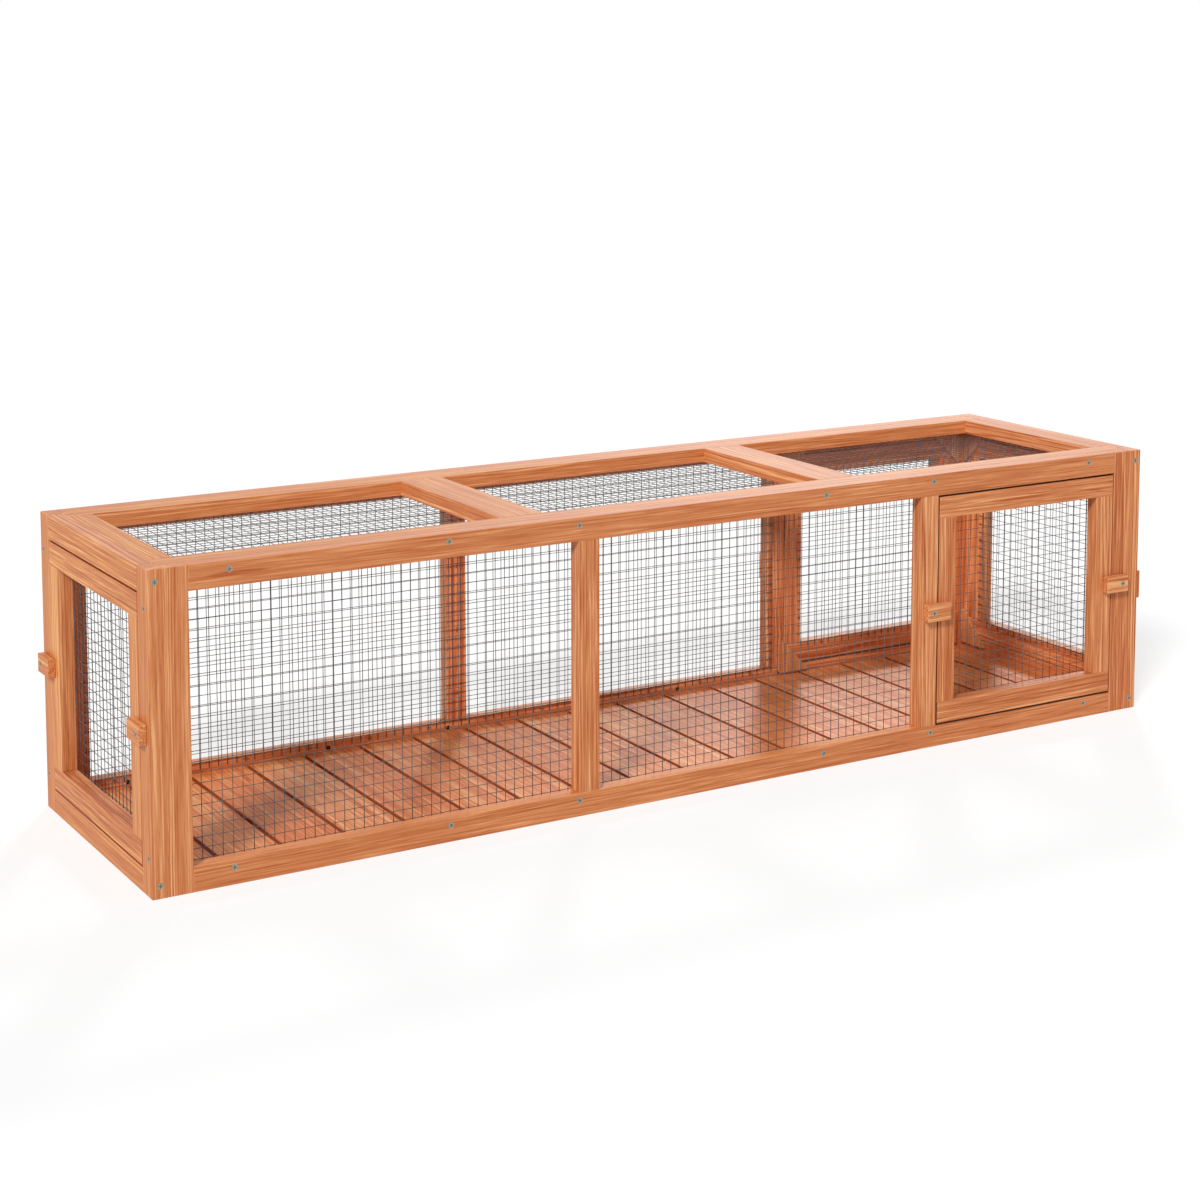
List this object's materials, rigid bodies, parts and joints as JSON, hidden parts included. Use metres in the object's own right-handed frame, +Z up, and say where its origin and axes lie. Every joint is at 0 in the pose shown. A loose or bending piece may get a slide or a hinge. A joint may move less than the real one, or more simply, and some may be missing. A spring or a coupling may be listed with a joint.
{
  "type": "outdoor cat tunnel",
  "caption": "Long low cat tunnel: wood-framed box with wire mesh sides and roof, slatted floor, lift-out doors in both ends, front and back, held by wooden turn buttons.",
  "frame": {"origin": "on the ground under the middle of the tunnel", "axes": "+X along the tunnel towards the end beside the front door, +Y from the front panel to the back panel, +Z up"},
  "size_m": [1.519, 0.4014, 0.381],
  "materials": {
    "frame_wood": "orange-brown water-based stain, satin",
    "floor_wood": "orange-brown stain, matt",
    "mesh_wire": "dark coated welded steel wire",
    "screw_steel": "zinc plated"
  },
  "bodies": {
    "frame": {"back_bottom_rail": "frame_wood", "back_door_mullion": "frame_wood", "back_left_stile": "frame_wood", "back_mesh": "mesh_wire", "back_middle_mullion": "frame_wood", "back_right_stile": "frame_wood", "back_top_rail": "frame_wood", "button_screws": "screw_steel", "door_stops": "frame_wood", "floor_battens": "floor_wood", "floor_slats": "floor_wood", "frame_screws": "screw_steel", "front_bottom_rail": "frame_wood", "front_door_bottom_rail": "frame_wood", "front_door_mesh": "mesh_wire", "front_door_mullion": "frame_wood", "front_door_stiles": "frame_wood", "front_door_top_rail": "frame_wood", "front_left_stile": "frame_wood", "front_mesh": "mesh_wire", "front_middle_mullion": "frame_wood", "front_right_stile": "frame_wood", "front_top_rail": "frame_wood", "left_door_bottom_rail": "frame_wood", "left_door_mesh": "mesh_wire", "left_door_stiles": "frame_wood", "left_door_top_rail": "frame_wood", "left_end_back_stile": "frame_wood", "left_end_bottom_rail": "frame_wood", "left_end_front_stile": "frame_wood", "left_end_top_rail": "frame_wood", "right_end_back_stile": "frame_wood", "right_end_bottom_rail": "frame_wood", "right_end_front_stile": "frame_wood", "right_end_top_rail": "frame_wood", "roof_back_rail": "frame_wood", "roof_front_rail": "frame_wood", "roof_left_cross_bar": "frame_wood", "roof_left_stile": "frame_wood", "roof_mesh": "mesh_wire", "roof_right_cross_bar": "frame_wood", "roof_right_stile": "frame_wood"},
    "back_door": {"back_door_top_rail": "frame_wood", "back_door_bottom_rail": "frame_wood", "back_door_stiles": "frame_wood", "back_door_mesh": "mesh_wire"},
    "right_door": {"right_door_top_rail": "frame_wood", "right_door_bottom_rail": "frame_wood", "right_door_stiles": "frame_wood", "right_door_mesh": "mesh_wire"},
    "front_door_left_button": {"front_door_left_button": "frame_wood"},
    "front_door_right_button": {"front_door_right_button": "frame_wood"},
    "back_door_left_button": {"back_door_left_button": "frame_wood"},
    "back_door_right_button": {"back_door_right_button": "frame_wood"},
    "left_door_left_button": {"left_door_left_button": "frame_wood"},
    "left_door_right_button": {"left_door_right_button": "frame_wood"},
    "right_door_left_button": {"right_door_left_button": "frame_wood"},
    "right_door_right_button": {"right_door_right_button": "frame_wood"}
  },
  "joints": [
    {"name": "back_door_lift_out", "type": "slide", "parent": "frame", "child": "back_door", "axis": [0, 1, 0], "range_m": [0, 0.15]},
    {"name": "right_door_lift_out", "type": "slide", "parent": "frame", "child": "right_door", "axis": [1, 0, 0], "range_m": [0, 0.15]},
    {"name": "front_door_left_button_turn", "type": "hinge", "parent": "frame", "child": "front_door_left_button", "pos_m": [0.36605, -0.1905, 0.1905], "axis": [0, -1, 0], "range_deg": [-90, 90]},
    {"name": "front_door_right_button_turn", "type": "hinge", "parent": "frame", "child": "front_door_right_button", "pos_m": [0.71205, -0.1905, 0.1905], "axis": [0, -1, 0], "range_deg": [-90, 90]},
    {"name": "back_door_left_button_turn", "type": "hinge", "parent": "frame", "child": "back_door_left_button", "pos_m": [0.71205, 0.1905, 0.1905], "axis": [0, 1, 0], "range_deg": [-90, 90]},
    {"name": "back_door_right_button_turn", "type": "hinge", "parent": "frame", "child": "back_door_right_button", "pos_m": [0.36605, 0.1905, 0.1905], "axis": [0, 1, 0], "range_deg": [-90, 90]},
    {"name": "left_door_left_button_turn", "type": "hinge", "parent": "frame", "child": "left_door_left_button", "pos_m": [-0.7493, 0.17325, 0.1905], "axis": [-1, 0, 0], "range_deg": [-90, 90]},
    {"name": "left_door_right_button_turn", "type": "hinge", "parent": "frame", "child": "left_door_right_button", "pos_m": [-0.7493, -0.17325, 0.1905], "axis": [-1, 0, 0], "range_deg": [-90, 90]},
    {"name": "right_door_left_button_turn", "type": "hinge", "parent": "frame", "child": "right_door_left_button", "pos_m": [0.7493, -0.17325, 0.1905], "axis": [1, 0, 0], "range_deg": [-90, 90]},
    {"name": "right_door_right_button_turn", "type": "hinge", "parent": "frame", "child": "right_door_right_button", "pos_m": [0.7493, 0.17325, 0.1905], "axis": [1, 0, 0], "range_deg": [-90, 90]}
  ]
}
